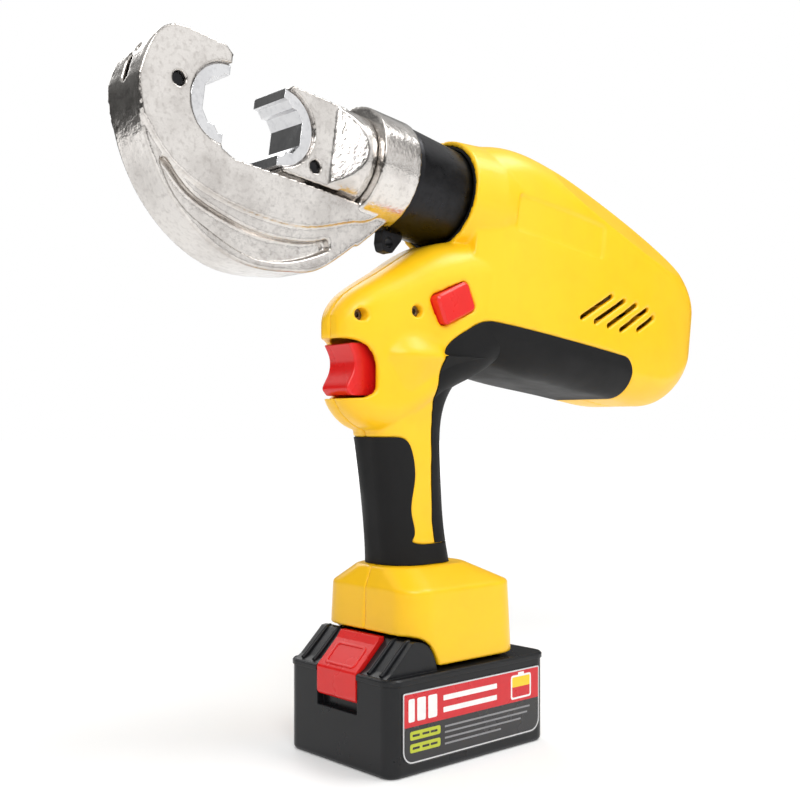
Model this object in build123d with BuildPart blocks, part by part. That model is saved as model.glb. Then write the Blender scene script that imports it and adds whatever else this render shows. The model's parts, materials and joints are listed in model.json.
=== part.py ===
from build123d import *
from math import cos, radians, sin
import os

os.makedirs("parts", exist_ok=True)

# Driving dimensions, in millimetres. The origin is the centre of the battery's flat bottom, +Z is up and
# the crimping head points towards -X.
BARREL_TILT = 8.0
BATTERY_LENGTH = 112.0
BATTERY_WIDTH = 81.0
CASE_HEIGHT = 44.0
RIM_TOP = 47.0
WALL = 3.6
SKIN = 1.5
SEAM = 0.35
HEAD_HALF = 14.0
HEAD_RADIUS = 29.0
HEAD_MOUTH = 24.0
SEAT_RADIUS = 18.5
FIXED_SEAT = 104.0
RAM_SEAT = 74.0
RAM_RADIUS = 19.0
CYLINDER_RADIUS = 24.0
COLLAR_END = -40.0
SHAFT_PLAY = 0.05
GAP = 0.3
MOTOR_DROP = -20.0
SHAFT_DROP = -45.0

# Where the barrel's axis leaves the collar: u runs forward along it, v upward across it, y to the left.
AXIS_X = -24.7
AXIS_Z = 293.6
FORWARD = Vector(-cos(radians(BARREL_TILT)), 0, sin(radians(BARREL_TILT)))
UPWARD = Vector(sin(radians(BARREL_TILT)), 0, cos(radians(BARREL_TILT)))
SIDE = Plane(origin=(AXIS_X, 0, AXIS_Z), x_dir=FORWARD, z_dir=(0, 1, 0))
BARREL_AXIS = Axis(SIDE.origin, FORWARD)


def across(u, v=0.0, y=0.0):
    """A plane square to the barrel's axis: its local x is -Y, its local y is v, and it faces forward."""
    origin = Vector(AXIS_X, 0, AXIS_Z) + FORWARD * u + UPWARD * v + Vector(0, y, 0)
    return Plane(origin=origin, x_dir=(0, -1, 0), z_dir=FORWARD)


def save(builder, name):
    """Label one finished piece and write its file."""
    builder.part.label = name
    export_step(builder.part, f"parts/{name}.step")


def tube(plane, outer, inner, length):
    """A plain ring or tube that starts at the plane and runs along its normal."""
    with BuildPart() as body:
        with BuildSketch(plane):
            Circle(outer)
            Circle(inner, mode=Mode.SUBTRACT)
        extrude(amount=length)
    return body.part


def rod(plane, radius, length):
    """A plain round bar that starts at the plane and runs along its normal."""
    with BuildPart() as body:
        with BuildSketch(plane):
            Circle(radius)
        extrude(amount=length)
    return body.part


def coil(plane, radius, wire, height, turns):
    """A helical spring that stands on the plane and runs along its normal."""
    start = plane.from_local_coords((0, 0, wire / 2))
    with BuildPart() as body:
        with BuildLine() as path:
            Helix(pitch=(height - wire) / turns, height=height - wire, radius=radius, center=start,
                  direction=plane.z_dir)
        with BuildSketch(Plane(origin=path.line @ 0, z_dir=path.line % 0)):
            Circle(wire / 2)
        sweep(is_frenet=True)
    return body.part


def spur_gear(plane, teeth, root, tip, root_width, tip_width, bore, length):
    """A spur gear with one tooth on the plane's local +x, made of plain tapered teeth."""
    with BuildPart() as body:
        with BuildSketch(plane):
            Circle(root)
            with PolarLocations(0, teeth):
                Polygon((root - 0.5, -root_width / 2), (tip, -tip_width / 2), (tip, tip_width / 2),
                        (root - 0.5, root_width / 2), align=None)
            Circle(bore, mode=Mode.SUBTRACT)
        extrude(amount=length)
    return body.part


def at(u, v):
    """The (x, z) of a point of the barrel's side view."""
    point = SIDE.from_local_coords((u, v, 0))
    return (point.X, point.Z)


def rounded_section(plane, half_width, low, high, upper_radius, lower_radius):
    """A closed upright section with its own radius for the upper and the lower corners."""
    right = half_width
    with BuildSketch(plane) as face:
        with BuildLine():
            Line((-right + upper_radius, high), (right - upper_radius, high))
            RadiusArc((right - upper_radius, high), (right, high - upper_radius), upper_radius)
            Line((right, high - upper_radius), (right, low + lower_radius))
            RadiusArc((right, low + lower_radius), (right - lower_radius, low), lower_radius)
            Line((right - lower_radius, low), (-right + lower_radius, low))
            RadiusArc((-right + lower_radius, low), (-right, low + lower_radius), lower_radius)
            Line((-right, low + lower_radius), (-right, high - upper_radius))
            RadiusArc((-right, high - upper_radius), (-right + upper_radius, high), upper_radius)
        make_face()
    return face.sketch



# Barrel stations: u, half width, low, high, upper radius, lower radius.
BARREL_STATIONS = [
    (-45, 26.0, -68, 29.0, 21.0, 14.0),
    (-65, 32.0, -83, 34.5, 24.0, 16.0),
    (-95, 35.5, -87.5, 34.5, 25.0, 17.0),
    (-140, 36.5, -87.5, 29.0, 26.0, 17.0),
    (-180, 35.5, -87.5, 22.0, 25.0, 17.0),
    (-211, 33.0, -86.0, 14.0, 23.0, 18.0),
    (-233, 29.0, -76.5, 5.0, 20.0, 18.0),
    (-248, 23.0, -62.0, -6.0, 16.0, 15.0),
    (-256, 15.0, -48.0, -17.0, 10.5, 10.0),
    (-259, 7.5, -39.0, -26.0, 5.5, 5.5),
]

# Nose stations: x, half width, low, high, upper radius, lower radius.
NOSE_STATIONS = [
    (-60.0, 6.0, 186, 220.5, 5.0, 5.0),
    (-56.5, 10.5, 178, 226.5, 8.0, 8.0),
    (-48.0, 15.5, 169, 234.0, 11.0, 11.0),
    (-34.0, 19.5, 164, 242.0, 14.0, 13.0),
    (-15.0, 23.5, 171, 253.0, 17.0, 15.0),
    (8.0, 28.0, 186, 263.0, 20.0, 16.0),
    (32.0, 30.0, 198, 269.0, 21.0, 15.0),
    (55.0, 30.5, 205, 271.0, 20.0, 14.0),
]

# Handle stations: z, middle x, half depth, half width.
HANDLE_STATIONS = [
    (84, -8.0, 22.5, 18.5),
    (108, -10.0, 20.5, 17.5),
    (135, -13.0, 20.5, 17.5),
    (160, -15.5, 21.5, 18.5),
    (176, -15.5, 23.5, 20.0),
    (190, -12.0, 28.0, 23.5),
    (202, -1.0, 42.0, 29.0),
]

# Foot stations: z, middle x, length, width, corner radius.
FOOT_SIDES = [(49, 1.0, 79, 73, 15), (86, 1.0, 76, 71, 15)]
FOOT_SHOULDER = [(86, 1.0, 76, 71, 15), (96, -6.0, 54, 42, 16)]


def barrel(inset):
    """The barrel's solid, drawn in from its outer surface by inset."""
    with BuildPart() as body:
        for u, half_width, low, high, upper, lower in BARREL_STATIONS:
            shift = inset if u < -200 else -inset
            add(rounded_section(across(u + shift), half_width - inset, low + inset, high - inset,
                                upper - inset, lower - inset))
        loft()
    return body.part


def neck(inset):
    """The round front of the barrel that carries the collar."""
    front = COLLAR_END + 2 - inset
    with BuildPart() as body:
        with BuildSketch(SIDE):
            with BuildLine():
                Polyline((front, 0), (front, 31 - inset), (-58, 34 - inset), (-72, 34 - inset), (-72, 0),
                         close=True)
            make_face()
        revolve(axis=BARREL_AXIS)
    return body.part


def nose(inset):
    """The nose that carries the trigger and runs back under the barrel."""
    with BuildPart() as body:
        for x, half_width, low, high, upper, lower in NOSE_STATIONS:
            shift = inset if x < -50 else 0
            plane = Plane(origin=(x + shift, 0, 0), x_dir=(0, -1, 0), z_dir=(-1, 0, 0))
            add(rounded_section(plane, half_width - inset, low + inset, high - inset,
                                upper - inset, lower - inset))
        loft()
    return body.part


def handle(inset):
    """The grip between the nose and the foot."""
    with BuildPart() as body:
        for z, middle, half_depth, half_width in HANDLE_STATIONS:
            with BuildSketch(Plane.XY.offset(z)):
                with Locations((middle, 0)):
                    RectangleRounded(2 * (half_depth - inset), 2 * (half_width - inset),
                                     0.82 * half_width - inset)
        loft()
    return body.part


def foot(inset):
    """The foot that takes the battery, with a sloped shoulder up to the grip."""
    with BuildPart() as body:
        for stations in (FOOT_SIDES, FOOT_SHOULDER):
            for z, middle, length, width, radius in stations:
                with BuildSketch(Plane.XY.offset(z - inset)):
                    with Locations((middle, 0)):
                        RectangleRounded(length - 2 * inset, width - 2 * inset, radius - inset)
            loft()
    return body.part


def whole_body(inset):
    """Everything inside the housing's outer surface, drawn in by inset."""
    with BuildPart() as body:
        add(barrel(inset))
        add(neck(inset))
        add(nose(inset))
        add(handle(inset))
        add(foot(inset))
    return body.part


outer = whole_body(0)
under_skin = whole_body(SKIN)
cavity = whole_body(WALL)


# ---- Rubber skins -------------------------------------------------------------------------------------

def front_grip_region(margin):
    """Side view of the front grip: the grip's front and the band round its lower end."""
    low = 96.5 - margin
    with BuildPart() as region:
        with BuildSketch(Plane.XZ):
            with BuildLine():
                top = Line((-70, 161 + margin), (-31, 161 + margin))
                edge = Spline(top @ 1, (-21.5 + margin, 154 + margin / 2), (-19 + margin, 140),
                              (-20.5 + margin, 122), (-19 + margin, 111 + margin / 2), (-12, 106.5 + margin),
                              tangents=((1, 0), (1, -0.1)))
                Polyline(edge @ 1, (30, 106.5 + margin), (30, low), (-70, low), top @ 0)
            make_face()
        extrude(amount=60, both=True)
    return region.part


def rear_pad_region(margin):
    """Side view of the rear strip of the grip and the pad under the barrel."""
    low = 107.1 - margin
    with BuildPart() as region:
        with BuildSketch(Plane.XZ):
            with BuildLine():
                edge = Spline((-4.5 - margin, low), (-6.5 - margin, 125), (-7.5 - margin, 150),
                              (-8.5 - margin, 175), (-8.5 - margin, 192), (-4 - margin, 207 + margin / 2),
                              (9 - margin / 2, 216 + margin), at(-60, -65 + margin),
                              tangents=((-0.3, 1), (1, -0.1)))
                upper = Line(edge @ 1, at(-165, -64 + margin))
                corner = RadiusArc(upper @ 1, at(-174 - margin, -73), 9 + margin)
                Polyline(corner @ 1, at(-174 - margin, -100), (40, low), edge @ 0)
            make_face()
        extrude(amount=60, both=True)
    return region.part


def skin(region):
    """The part of the outer surface layer that lies in a region."""
    with BuildPart() as layer:
        add(region)
        add(outer, mode=Mode.INTERSECT)
        add(under_skin, mode=Mode.SUBTRACT)
    return layer.part


with BuildPart() as front_grip:
    add(skin(front_grip_region(0)))
save(front_grip, "front_grip")

with BuildPart() as rear_grip_pad:
    add(skin(rear_pad_region(0)))
save(rear_grip_pad, "rear_grip_pad")

# ---- Crimping head ------------------------------------------------------------------------------------

# The C-shaped outline: from the upper tip round the front and the belly to the round socket.
with BuildPart() as c_head:
    with BuildSketch(SIDE) as core_outline:
        with BuildLine():
            tip = Polyline((FIXED_SEAT, 0), (FIXED_SEAT, 23), (108, 26), (127, 26.5))
            crown = Spline(tip @ 1, (141, 20), (147, 3), (144, -17), (129, -43), (108, -60), (80, -67.5),
                           (55, -64), (34, -53), (12, -33), (2, -24), tangents=((1, 0), (-1, 1)))
            Polyline(crown @ 1, (2, 0), (20, 0), (20, -22.5), (97, -22.5), (FIXED_SEAT, -20), tip @ 0)
        make_face()
    extrude(amount=12.5, both=True)
    # The flat cheeks stand proud of the core and end in a line that runs round above the belly.
    with BuildSketch(SIDE) as cheek_outline:
        with BuildLine():
            tip = Polyline((FIXED_SEAT, 0), (FIXED_SEAT, 23), (108, 26), (127, 26.5))
            front = Spline(tip @ 1, (141, 20), (147, 3), (143.5, -17), tangents=((1, 0), (-0.35, -1)))
            rim = Spline(front @ 1, (125, -34), (100, -42), (76, -44), (50, -41), (26, -32), (8, -23),
                         tangents=((-0.8, -1), (-1, 0.7)))
            Polyline(rim @ 1, (8, 0), (20, 0), (20, -22.5), (97, -22.5), (FIXED_SEAT, -20), tip @ 0)
        make_face()
    extrude(amount=HEAD_HALF, both=True)
    # A crescent pocket lightens the web on both sides and leaves a rim along the belly.
    for side in (-1, 1):
        with BuildSketch(SIDE.offset(side * 7.5)) as pocket_outline:
            with BuildLine():
                upper = Spline((134, -29), (118, -41.5), (98, -48.5), (76, -51.5), (56, -49.5), (40, -44),
                               tangents=((-1, -0.6), (-1, 0.5)))
                lower = Spline((38, -49), (56, -58.5), (80, -63), (106, -56), (131, -36),
                               tangents=((0.9, -0.6), (0.6, 1)))
                Line(upper @ 1, lower @ 0)
                Line(lower @ 1, upper @ 0)
            make_face()
            fillet(pocket_outline.vertices(), radius=1.5)
        extrude(amount=side * 20, mode=Mode.SUBTRACT)
    # The round socket that takes the hydraulic cylinder and guides the ram.
    with BuildSketch(across(0)):
        Circle(HEAD_RADIUS)
    extrude(amount=HEAD_MOUTH)
    with BuildSketch(across(-1)):
        Circle(CYLINDER_RADIUS + SHAFT_PLAY)
    extrude(amount=15.2, mode=Mode.SUBTRACT)
    with BuildSketch(across(8)):
        Circle(25.6)
    extrude(amount=2.2, mode=Mode.SUBTRACT)
    with BuildSketch(across(-1)):
        Circle(RAM_RADIUS + SHAFT_PLAY)
    extrude(amount=70, mode=Mode.SUBTRACT)
    # Room for the ram's shoulder, the seat of the fixed die, its pin hole and the blind holes in the tip.
    with BuildSketch(across(HEAD_MOUTH)):
        Circle(24.3)
    extrude(amount=53, mode=Mode.SUBTRACT)
    with BuildSketch(SIDE):
        with Locations((FIXED_SEAT, 0)):
            Circle(SEAT_RADIUS)
    extrude(amount=30, both=True, mode=Mode.SUBTRACT)
    with BuildSketch(SIDE):
        with Locations((129, 3)):
            Circle(3.2)
    extrude(amount=30, both=True, mode=Mode.SUBTRACT)
    with BuildSketch(across(134, 4.5)):
        SlotOverall(12, 5, rotation=90)
    extrude(amount=20, mode=Mode.SUBTRACT)
    with BuildSketch(across(134, 13.5, -4)):
        Circle(1.7)
    extrude(amount=20, mode=Mode.SUBTRACT)
save(c_head, "c_head")


def half_die(parting, direction):
    """A half die: round back, flat parting face and a stepped cavity that opens along the direction."""
    with BuildPart() as die:
        with BuildSketch(SIDE) as profile:
            with Locations((parting, 0)):
                Circle(SEAT_RADIUS - SHAFT_PLAY)
                with Locations((-direction * 30, 0)):
                    Rectangle(60, 60, mode=Mode.SUBTRACT)
                cavity_steps = ((0, 13.5), (2.5, 13.5), (5, 10.5), (8, 10.5), (11.5, 5.5), (11.5, 0))
                points = [(direction * depth, half) for depth, half in cavity_steps]
                points += [(direction * depth, -half) for depth, half in reversed(cavity_steps)]
                Polygon(*points, align=None, mode=Mode.SUBTRACT)
        extrude(amount=HEAD_HALF - 1.5, both=True)
        chamfer(die.edges().filter_by(GeomType.CIRCLE).filter_by(lambda edge: edge.length > 20), length=0.8)
    return die.part


with BuildPart() as fixed_die:
    add(half_die(FIXED_SEAT, 1))
save(fixed_die, "fixed_die")

with BuildPart() as ram_die:
    add(half_die(RAM_SEAT, -1))
save(ram_die, "ram_die")

for name, u, v in (("fixed_die_pin", 129, 3), ("ram_die_pin", 53, -13)):
    with BuildPart() as die_pin:
        with BuildSketch(SIDE.offset(-12)):
            with Locations((u, v)):
                Circle(3.15)
        extrude(amount=22)
        fillet(die_pin.edges().filter_by(GeomType.CIRCLE), radius=0.6)
    save(die_pin, name)

# ---- Ram and hydraulic cylinder -----------------------------------------------------------------------

with BuildPart() as ram:
    with BuildSketch(SIDE):
        with BuildLine():
            Polyline((-44, 0), (-44, RAM_RADIUS), (HEAD_MOUTH + 0.3, RAM_RADIUS), (HEAD_MOUTH + 0.3, 23.8),
                     (44, 23.8), (46.5, 20), (46.5, 0), close=True)
        make_face()
    revolve(axis=BARREL_AXIS)
    # Slanting flats bring the round shoulder down to the tongue's width.
    for side in (-1, 1):
        with BuildSketch(Plane(origin=SIDE.origin, x_dir=FORWARD, z_dir=UPWARD)):
            Polygon((28, side * 24.5), (45, side * HEAD_HALF), (60, side * HEAD_HALF), (60, side * 34),
                    (28, side * 34), align=None)
        extrude(amount=30, both=True, mode=Mode.SUBTRACT)
    # The flat-sided tongue carries the moving die in a round seat.
    with BuildSketch(SIDE) as tongue:
        with BuildLine():
            Polyline((38, 20.5), (71, 20.5), (71, -20.5), (38, -20.5), close=True)
        make_face()
        with Locations((RAM_SEAT, 0)):
            Circle(SEAT_RADIUS, mode=Mode.SUBTRACT)
    extrude(amount=HEAD_HALF, both=True)
    with BuildSketch(SIDE):
        with Locations((53, -13)):
            Circle(3.2)
    extrude(amount=30, both=True, mode=Mode.SUBTRACT)
    # The ram is hollow for its return spring, with a flange at the rear for the spring to push on.
    with BuildSketch(across(-40)):
        Circle(12)
    extrude(amount=60, mode=Mode.SUBTRACT)
    with BuildSketch(across(-45)):
        Circle(5)
    extrude(amount=6, mode=Mode.SUBTRACT)
    with BuildSketch(across(-36)):
        Circle(30)
        Circle(16.5, mode=Mode.SUBTRACT)
    extrude(amount=3.2, mode=Mode.SUBTRACT)
save(ram, "ram")

with BuildPart() as piston_seal:
    add(tube(across(-36), RAM_RADIUS, 16.5, 3.2))
save(piston_seal, "piston_seal")

with BuildPart() as guide_bolt:
    add(rod(across(-56), 4, 66))
    with BuildSketch(across(10)):
        RegularPolygon(radius=11, side_count=6)
    extrude(amount=4)
save(guide_bolt, "guide_bolt")

with BuildPart() as return_spring:
    add(coil(across(-39.7), 8.4, 2.2, 49.4, 7))
save(return_spring, "return_spring")

with BuildPart() as hydraulic_cylinder:
    with BuildSketch(across(-62)):
        Circle(CYLINDER_RADIUS)
    extrude(amount=76)
    with BuildSketch(across(-46)):
        Circle(RAM_RADIUS + SHAFT_PLAY)
    extrude(amount=80, mode=Mode.SUBTRACT)
    with BuildSketch(across(-56)):
        Circle(4)
    extrude(amount=20, mode=Mode.SUBTRACT)
    with BuildSketch(across(-63, 10)):
        Circle(2)
    extrude(amount=20, mode=Mode.SUBTRACT)
    with BuildSketch(across(8)):
        Circle(30)
        Circle(22.4, mode=Mode.SUBTRACT)
    extrude(amount=2.2, mode=Mode.SUBTRACT)
save(hydraulic_cylinder, "hydraulic_cylinder")

with BuildPart() as head_ring:
    with BuildSketch(across(8.1)):
        Circle(25.3)
        Circle(22.4, mode=Mode.SUBTRACT)
        with Locations((0, 24)):
            Rectangle(5, 8, mode=Mode.SUBTRACT)
    extrude(amount=2)
save(head_ring, "head_ring")

with BuildPart() as collar:
    with BuildSketch(SIDE) as collar_profile:
        with BuildLine():
            Polyline((-0.8, CYLINDER_RADIUS + 0.2), (-0.8, 27.6), (-3, 27.9), (COLLAR_END - 4, 26),
                     (COLLAR_END - 4, CYLINDER_RADIUS + 0.2), close=True)
        make_face()
    revolve(axis=BARREL_AXIS)
    # The lanyard eye under the collar's front edge.
    with BuildSketch(SIDE) as eye:
        with BuildLine():
            Polyline((-14, -25.5), (-14, -30), (-8.5, -38), (-2.5, -38), (-0.8, -34), (-0.8, -25.5),
                     close=True)
        make_face()
        fillet(eye.vertices().group_by(Axis.Z)[0], radius=2)
        with Locations((-5.8, -33)):
            Circle(2.6, mode=Mode.SUBTRACT)
    extrude(amount=3, both=True)
save(collar, "collar")

with BuildPart() as collar_seal:
    with BuildSketch(SIDE):
        with Locations((COLLAR_END - 1, 27.45)):
            RectangleRounded(5, 1.9, 0.6)
    revolve(axis=BARREL_AXIS)
save(collar_seal, "collar_seal")

# ---- Pump and its drive -------------------------------------------------------------------------------

with BuildPart() as pump_block:
    with BuildSketch(across(-99.5)):
        with Locations((0, 0)):
            RectangleRounded(40, 48, 4)
    extrude(amount=37.5)
    with BuildSketch(SIDE.offset(-9)):
        with Locations((-66, -34)):
            Rectangle(12, 26)
    extrude(amount=15)
    with BuildSketch(across(-62)):
        Circle(CYLINDER_RADIUS + SHAFT_PLAY)
    extrude(amount=10, mode=Mode.SUBTRACT)
    with BuildSketch(SIDE.offset(-9)):
        with Locations((-66, -41)):
            Circle(5)
    extrude(amount=15, mode=Mode.SUBTRACT)
    plunger_mouth = Plane(origin=SIDE.from_local_coords((-93, -24, 0)), x_dir=(0, 1, 0), z_dir=UPWARD)
    with BuildSketch(plunger_mouth.offset(-1)):
        Circle(4 + SHAFT_PLAY)
    extrude(amount=17, mode=Mode.SUBTRACT)
    pin_mouth = Plane(origin=SIDE.from_local_coords((-82, -24, -14.2)), x_dir=(0, 1, 0), z_dir=UPWARD)
    with BuildSketch(pin_mouth.offset(-1)):
        Circle(1.5)
    extrude(amount=12, mode=Mode.SUBTRACT)
    with BuildSketch(across(-63, 10)):
        Circle(2)
    extrude(amount=3, mode=Mode.SUBTRACT)
save(pump_block, "pump_block")

with BuildPart() as pump_plunger:
    add(rod(plunger_mouth.offset(-6.5), 4, 20))
    add(rod(plunger_mouth.offset(-7.9), 6, 1.4))
save(pump_plunger, "pump_plunger")

with BuildPart() as plunger_spring:
    add(coil(plunger_mouth.offset(-6.4), 5, 0.8, 6.3, 3))
save(plunger_spring, "plunger_spring")

with BuildPart() as eccentric_shaft:
    add(rod(across(-122, SHAFT_DROP), 4, 36))
    add(rod(across(-98, SHAFT_DROP + 1.5), 7, 10))
save(eccentric_shaft, "eccentric_shaft")

with BuildPart() as eccentric_bearing:
    add(tube(across(-97, SHAFT_DROP + 1.5), 11.5, 7, 8))
save(eccentric_bearing, "eccentric_bearing")

with BuildPart() as drive_gear:
    gear_plane = Plane(origin=across(-114, SHAFT_DROP).origin, x_dir=UPWARD, z_dir=FORWARD)
    add(spur_gear(gear_plane, 40, 18.8, 20.9, 1.7, 0.8, 4, 8))
save(drive_gear, "drive_gear")

with BuildPart() as motor_pinion:
    pinion_plane = Plane(origin=across(-116, MOTOR_DROP).origin, x_dir=(0, 1, 0), z_dir=FORWARD)
    add(spur_gear(pinion_plane, 10, 3.8, 5.9, 1.7, 0.7, 2.5, 10))
save(motor_pinion, "motor_pinion")

for name, u in (("front_shaft_bearing", -104), ("rear_shaft_bearing", -122)):
    with BuildPart() as shaft_bearing:
        add(tube(across(u, SHAFT_DROP), 8, 4 + SHAFT_PLAY, 4))
    save(shaft_bearing, name)


def drive_plate(u, thickness, holes):
    """One of the two plates that carry the gear's shaft, with round holes at (v, radius)."""
    with BuildPart() as plate:
        with BuildSketch(across(u)) as face:
            with Locations((0, -33)):
                RectangleRounded(50, 76, 8)
            for v, radius in holes:
                with Locations((0, v)):
                    Circle(radius, mode=Mode.SUBTRACT)
        extrude(amount=thickness)
    return plate.part


POSTS = [(-21, -67), (21, -67), (-21, -1), (21, -1)]
with BuildPart() as gear_plate:
    add(drive_plate(-104, 4.5, [(SHAFT_DROP, 8), (MOTOR_DROP, 3.5)]))
    with BuildSketch(across(-118)):
        with Locations(*POSTS):
            Circle(3)
    extrude(amount=14)
save(gear_plate, "gear_plate")

with BuildPart() as motor_plate:
    add(drive_plate(-122, 4, [(SHAFT_DROP, 8), (MOTOR_DROP, 8.5)]))
save(motor_plate, "motor_plate")

with BuildPart() as motor_can:
    add(tube(across(-184, MOTOR_DROP), 20, 18.5, 62))
    add(tube(across(-125, MOTOR_DROP), 18.5, 6, 3))
save(motor_can, "motor_can")

with BuildPart() as motor_stator:
    with BuildSketch(across(-176, MOTOR_DROP)) as stator_face:
        Circle(18.5)
        Circle(13, mode=Mode.SUBTRACT)
        with PolarLocations(15.75, 2, start_angle=90):
            Rectangle(6, 5, mode=Mode.SUBTRACT)
    extrude(amount=46)
save(motor_stator, "motor_stator")

with BuildPart() as motor_end_cap:
    add(tube(across(-188, MOTOR_DROP), 20, 6, 4))
save(motor_end_cap, "motor_end_cap")

for name, u in (("front_motor_bearing", -125), ("rear_motor_bearing", -188)):
    with BuildPart() as motor_bearing:
        add(tube(across(u, MOTOR_DROP), 6, 2.5 + SHAFT_PLAY, 3))
    save(motor_bearing, name)

with BuildPart() as rotor:
    add(rod(across(-198, MOTOR_DROP), 2.5, 93))
    with BuildSketch(across(-174, MOTOR_DROP)):
        Circle(12.4)
        with PolarLocations(11, 12):
            Rectangle(3.4, 1.6, mode=Mode.SUBTRACT)
    extrude(amount=42)
save(rotor, "rotor")

with BuildPart() as cooling_fan:
    with BuildSketch(across(-197, MOTOR_DROP)) as fan_face:
        Circle(6)
        with PolarLocations(0, 11):
            with Locations(Location((11, 0, 0), 25)):
                Rectangle(13, 1.4)
        Circle(2.5, mode=Mode.SUBTRACT)
    extrude(amount=6)
    add(tube(across(-191.8, MOTOR_DROP), 17, 2.5, 1.2))
save(cooling_fan, "cooling_fan")

with BuildPart() as oil_bladder:
    with BuildSketch(across(-177, 9)):
        RectangleRounded(40, 14, 6)
    extrude(amount=51)
    fillet(oil_bladder.faces().filter_by(BARREL_AXIS).edges(), radius=4)
    add(rod(across(-128, 13), 7, 26))
    with BuildSketch(across(-112, 13)):
        Circle(5)
    extrude(amount=14, mode=Mode.SUBTRACT)
save(oil_bladder, "oil_bladder")

with BuildPart() as oil_spigot:
    add(rod(across(-110, 13), 5, 10.5))
save(oil_spigot, "oil_spigot")

with BuildPart() as bladder_clamp:
    add(tube(across(-109, 13), 8, 7, 4))
save(bladder_clamp, "bladder_clamp")

# ---- Controls -----------------------------------------------------------------------------------------

BUTTON_CENTRE = (0, 229)
BUTTON_TURN = 24


def side_button_face(margin):
    """The release button's outline: a rounded rectangle turned up towards the rear."""
    with BuildSketch() as face:
        with Locations(Location((*BUTTON_CENTRE, 0), BUTTON_TURN)):
            RectangleRounded(24 + 2 * margin, 16 + 2 * margin, 3 + margin)
    return face.sketch


with BuildPart() as trigger:
    with BuildSketch(Plane.XZ) as trigger_side:
        with BuildLine():
            front = Spline((-55.5, 206.6), (-52.3, 200), (-53.4, 192), (-56.8, 185), (-54.5, 181.9),
                           tangents=((0.6, -1), (1, -1)))
            Polyline(front @ 1, (-53, 181.6), (-33, 181.6), (-33, 207.2), (-54, 207.2), front @ 0)
        make_face()
    extrude(amount=10.2, both=True)
    fillet(trigger.edges().filter_by(GeomType.BSPLINE), radius=1.2)
    with BuildSketch(Plane.YZ.offset(-40)):
        with Locations((0, 194.5)):
            Circle(4.6)
    extrude(amount=10, mode=Mode.SUBTRACT)
save(trigger, "trigger")

with BuildPart() as trigger_switch:
    with BuildSketch(Plane.YZ.offset(-27)):
        with Locations((0, 194.5)):
            RectangleRounded(18, 24, 2)
    extrude(amount=20)
save(trigger_switch, "trigger_switch")

with BuildPart() as trigger_spring:
    add(coil(Plane(origin=(-39.8, 0, 194.5), z_dir=(1, 0, 0)), 3.5, 0.9, 12.6, 5))
save(trigger_spring, "trigger_spring")

with BuildPart() as release_button:
    with BuildSketch(Plane.XZ.offset(17)):
        add(side_button_face(0))
    extrude(amount=12)
    chamfer(release_button.faces().sort_by(Axis.Y)[0].edges(), length=1.2)
    with BuildSketch(Plane.XZ.offset(17)):
        add(side_button_face(1.6))
    extrude(amount=1.6)
    with BuildSketch(Plane.XZ.offset(15)):
        with Locations(at(-33.4, -60.5)):
            Circle(4)
    extrude(amount=2)
save(release_button, "release_button")

lever_eye = Plane(origin=SIDE.from_local_coords((-82, -43.5, -14.2)), x_dir=(0, 1, 0), z_dir=UPWARD)
with BuildPart() as release_lever:
    with BuildSketch(SIDE.offset(-14.5)) as lever_face:
        with BuildLine():
            Polyline((-82, -42), (-82, -35.5), (-70, -36), (-56, -40), (-29, -56.5), (-30, -64),
                     (-38, -64.5), (-60, -46), (-72, -43.5), close=True)
        make_face()
        fillet(lever_face.vertices().group_by(Axis.X)[-1], radius=2)
    extrude(amount=2.5)
    add(rod(lever_eye, 3.4, 8.5))
    with BuildSketch(lever_eye.offset(-1)):
        Circle(1.5 + SHAFT_PLAY)
    extrude(amount=20, mode=Mode.SUBTRACT)
save(release_lever, "release_lever")

with BuildPart() as lever_pin:
    add(rod(lever_eye.offset(-1.5), 1.5, 27))
save(lever_pin, "lever_pin")

with BuildPart() as relief_valve:
    with BuildSketch(SIDE.offset(-9)):
        with Locations((-66, -41)):
            Circle(5)
    extrude(amount=15)
    with BuildSketch(SIDE.offset(-9)):
        with Locations((-66, -41)):
            Circle(2 + SHAFT_PLAY)
    extrude(amount=8, mode=Mode.SUBTRACT)
save(relief_valve, "relief_valve")

with BuildPart() as valve_stem:
    with BuildSketch(SIDE.offset(-11.7)):
        with Locations((-66, -41)):
            Circle(2)
    extrude(amount=9.3)
save(valve_stem, "valve_stem")

with BuildPart() as control_board:
    with BuildSketch(across(-182, -72)):
        Rectangle(44, 1.6)
    extrude(amount=50)
    with BuildSketch(Plane(origin=across(-150, -71.2).origin, x_dir=FORWARD, z_dir=UPWARD)):
        with GridLocations(12, 14, 2, 2):
            Circle(4.5)
        with Locations((-22, 0)):
            Rectangle(12, 30)
    extrude(amount=11)
save(control_board, "control_board")

with BuildPart() as terminal_block:
    with BuildSketch(Plane.XY.offset(64)):
        with Locations((3, 0)):
            RectangleRounded(34, 36, 3)
    extrude(amount=8)
save(terminal_block, "terminal_block")

BLADES = (-12, 0, 12)
with BuildPart() as terminal_blades:
    with BuildSketch(Plane.XY.offset(53.5)):
        with Locations(*[(1, y) for y in BLADES]):
            Rectangle(22, 0.8)
    extrude(amount=10.5)
save(terminal_blades, "terminal_blades")

# ---- Battery ------------------------------------------------------------------------------------------

CASE_INSET = 0.7
CELL_RADIUS = 9.0
SCREW_SPOTS = [(x, y) for x in (-50, 50) for y in (-34.3, 34.3)]


def button_recess():
    """The slot down the battery's front in which the release button travels."""
    with BuildPart() as recess:
        with BuildSketch(Plane.XZ):
            with BuildLine():
                Polyline((-62, 27), (-62, 68), (-36.9, 68), (-36.9, 51.8), (-40.8, 51.8), (-51.2, 41.5),
                         (-51.2, 27), close=True)
            make_face()
        extrude(amount=15.6, both=True)
    return recess.part


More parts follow.
